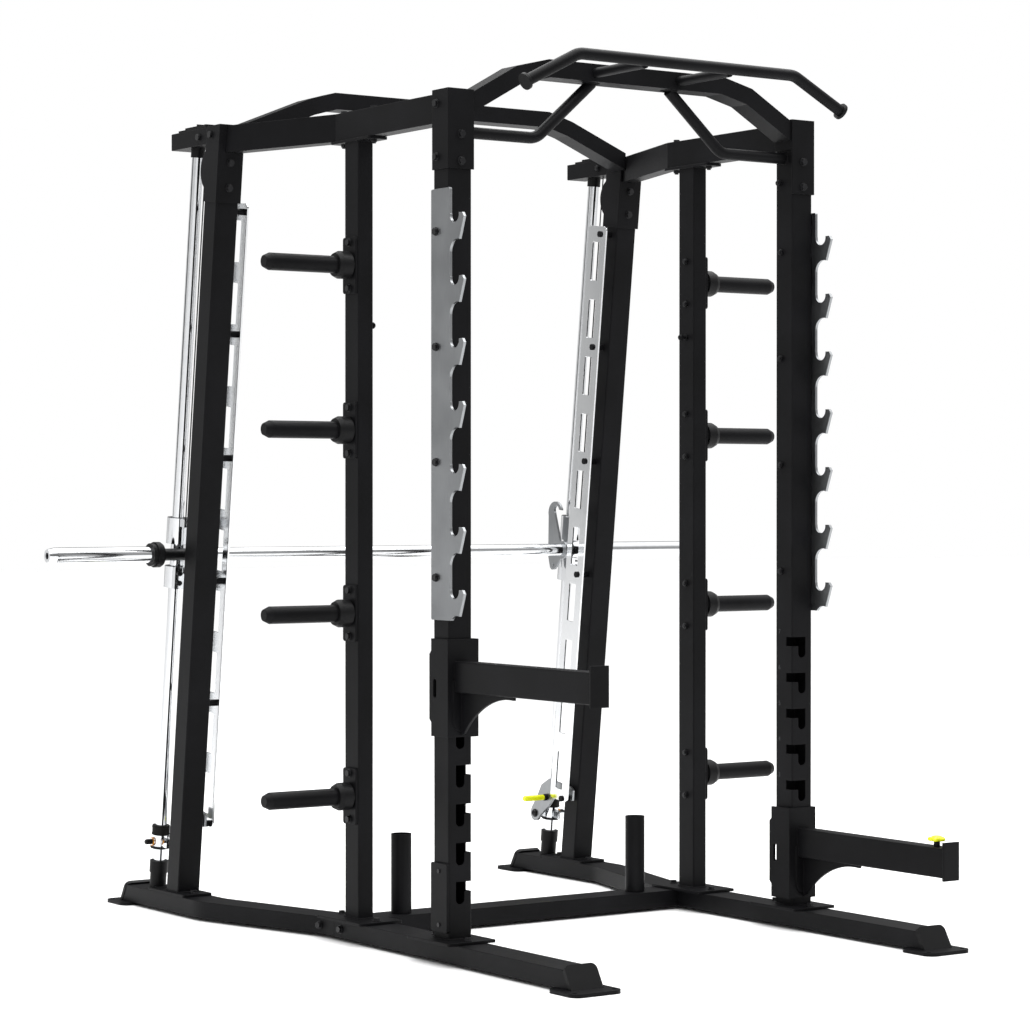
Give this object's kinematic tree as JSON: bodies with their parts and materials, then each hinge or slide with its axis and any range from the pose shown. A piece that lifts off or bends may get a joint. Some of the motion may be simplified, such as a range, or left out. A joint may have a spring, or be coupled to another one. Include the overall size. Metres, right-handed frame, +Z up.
{
  "type": "smith machine",
  "caption": "Smith machine with a half rack: leaning guide rods, counterbalanced hook-on bar, plate horns, rack hooks, spotter arms and pull-up bars.",
  "frame": {"origin": "centre of the box round the machine, on the floor", "axes": "+Z up, the longest extent; the rack's open front and the spotter arms face -Y; the bar runs along X"},
  "size_m": [2.414, 2.345, 2.508],
  "materials": {
    "black_coat": "fine-textured black powder coat",
    "black_plastic": "moulded black plastic",
    "rubber": "black rubber",
    "chrome_steel": "polished chrome plate",
    "cut_plate": "laser-cut plate with satin plating",
    "bolt_steel": "blackened steel",
    "yellow_plastic": "glossy yellow plastic",
    "coated_cable": "steel cable with a black plastic jacket"
  },
  "bodies": {
    "root": {"front_runners": "black_coat", "rear_runners": "black_coat", "cross_member": "black_coat", "foot_plates": "black_coat", "foot_caps": "black_plastic", "bar_holders": "black_coat", "front_upright_left": "black_coat", "front_upright_right": "black_coat", "mid_uprights": "black_coat", "rod_upright_left": "black_coat", "rod_upright_right": "black_coat", "top_beams": "black_coat", "rear_crossbar": "black_coat", "front_crossbeam": "black_coat", "pull_up_bar": "black_coat", "bar_end_caps": "black_plastic", "inner_grips": "black_coat", "rod_beams": "black_coat", "guide_rods": "chrome_steel", "rod_cups": "black_plastic", "catch_plates": "cut_plate", "catch_pegs": "black_coat", "rack_hook_plates": "cut_plate", "plate_horns": "black_coat", "horn_collars": "black_plastic", "horn_plates": "black_coat", "band_pegs": "black_coat", "upright_guard": "black_coat", "base_bolts": "bolt_steel", "frame_bolts": "bolt_steel", "plate_bolts": "bolt_steel", "top_brackets": "black_coat", "lift_cables": "coated_cable"},
    "carriage": {"carriage_left": "chrome_steel", "carriage_right": "chrome_steel", "linear_bearings": "bolt_steel", "carriage_bolts": "bolt_steel"},
    "bar": {"bar_shaft": "chrome_steel", "bar_sleeves": "chrome_steel", "bar_collars": "black_plastic", "bar_hooks": "cut_plate"},
    "left_weight": {"counterweight_left": "bolt_steel"},
    "right_weight": {"counterweight_right": "bolt_steel"},
    "left_front_sheave": {"sheave_front_left": "black_plastic"},
    "right_front_sheave": {"sheave_front_right": "black_plastic"},
    "left_rear_sheave": {"sheave_rear_left": "black_plastic"},
    "right_rear_sheave": {"sheave_rear_right": "black_plastic"},
    "left_stop": {"stop_left": "chrome_steel", "stop_cushion_left": "rubber"},
    "right_stop": {"stop_right": "chrome_steel", "stop_cushion_right": "rubber"},
    "left_latch": {"latch_left": "cut_plate", "latch_handle_left": "yellow_plastic"},
    "right_latch": {"latch_right": "cut_plate", "latch_handle_right": "yellow_plastic"},
    "left_knob": {"lock_knob_left": "black_plastic"},
    "right_knob": {"lock_knob_right": "black_plastic"},
    "left_spotter": {"spotter_left": "black_coat"},
    "right_spotter": {"spotter_right": "black_coat"},
    "arm_knob": {"spotter_knob": "yellow_plastic"}
  },
  "joints": [
    {"name": "carriage_slide", "type": "slide", "parent": "root", "child": "carriage", "axis": [0, -0.1158, 0.9933], "range_m": [-0.725, 1.085], "deforming": ["lift_cables"]},
    {"name": "bar_turn", "type": "hinge", "parent": "carriage", "child": "bar", "pos_m": [0, 0.79487, 1.10177], "axis": [1, 0, 0], "range_deg": [0, 80]},
    {"name": "left_weight_slide", "type": "slide", "parent": "root", "child": "left_weight", "axis": [0, -0.1158, 0.9933], "range_m": [-1.09, 0.73]},
    {"name": "left_front_sheave_turn", "type": "hinge", "parent": "root", "child": "left_front_sheave", "pos_m": [-0.746, 0.54727, 2.362], "axis": [1, 0, 0], "range_deg": [-2320, 3470]},
    {"name": "left_rear_sheave_turn", "type": "hinge", "parent": "root", "child": "left_rear_sheave", "pos_m": [-0.746, 0.62982, 2.362], "axis": [1, 0, 0], "range_deg": [-2320, 3470]},
    {"name": "left_stop_slide", "type": "slide", "parent": "root", "child": "left_stop", "axis": [0, -0.1158, 0.9933], "range_m": [0, 0.31]},
    {"name": "left_latch_turn", "type": "hinge", "parent": "left_stop", "child": "left_latch", "pos_m": [-0.696, 0.96663, 0.20715], "axis": [-1, 0, 0], "range_deg": [0, 25]},
    {"name": "left_knob_pull", "type": "slide", "parent": "left_stop", "child": "left_knob", "axis": [-1, 0, 0], "range_m": [0, 0.008], "stiffness_N_per_m": 600, "springref_m": -0.004},
    {"name": "left_spotter_lift", "type": "slide", "parent": "root", "child": "left_spotter", "axis": [0, 0, 1], "range_m": [0, 0.032]},
    {"name": "right_weight_slide", "type": "slide", "parent": "root", "child": "right_weight", "axis": [0, -0.1158, 0.9933], "range_m": [-1.09, 0.73]},
    {"name": "right_front_sheave_turn", "type": "hinge", "parent": "root", "child": "right_front_sheave", "pos_m": [0.746, 0.54727, 2.362], "axis": [1, 0, 0], "range_deg": [-2320, 3470]},
    {"name": "right_rear_sheave_turn", "type": "hinge", "parent": "root", "child": "right_rear_sheave", "pos_m": [0.746, 0.62982, 2.362], "axis": [1, 0, 0], "range_deg": [-2320, 3470]},
    {"name": "right_stop_slide", "type": "slide", "parent": "root", "child": "right_stop", "axis": [0, -0.1158, 0.9933], "range_m": [0, 0.31]},
    {"name": "right_latch_turn", "type": "hinge", "parent": "right_stop", "child": "right_latch", "pos_m": [0.696, 0.96663, 0.20715], "axis": [-1, 0, 0], "range_deg": [0, 25]},
    {"name": "right_knob_pull", "type": "slide", "parent": "right_stop", "child": "right_knob", "axis": [1, 0, 0], "range_m": [0, 0.008], "stiffness_N_per_m": 600, "springref_m": -0.004},
    {"name": "right_spotter_lift", "type": "slide", "parent": "root", "child": "right_spotter", "axis": [0, 0, 1], "range_m": [0, 0.032]},
    {"name": "arm_knob_turn", "type": "hinge", "parent": "right_spotter", "child": "arm_knob", "pos_m": [0.6085, -1.1125, 0.298], "axis": [0, 0, 1], "range_deg": [-180, 180]}
  ],
  "couplings": [
    {"joint": "left_weight_slide", "follows": "carriage_slide", "ratio": -1},
    {"joint": "left_front_sheave_turn", "follows": "carriage_slide", "rad_per_m": 55.556},
    {"joint": "left_rear_sheave_turn", "follows": "carriage_slide", "rad_per_m": 55.556},
    {"joint": "right_weight_slide", "follows": "carriage_slide", "ratio": -1},
    {"joint": "right_front_sheave_turn", "follows": "carriage_slide", "rad_per_m": 55.556},
    {"joint": "right_rear_sheave_turn", "follows": "carriage_slide", "rad_per_m": 55.556}
  ]
}
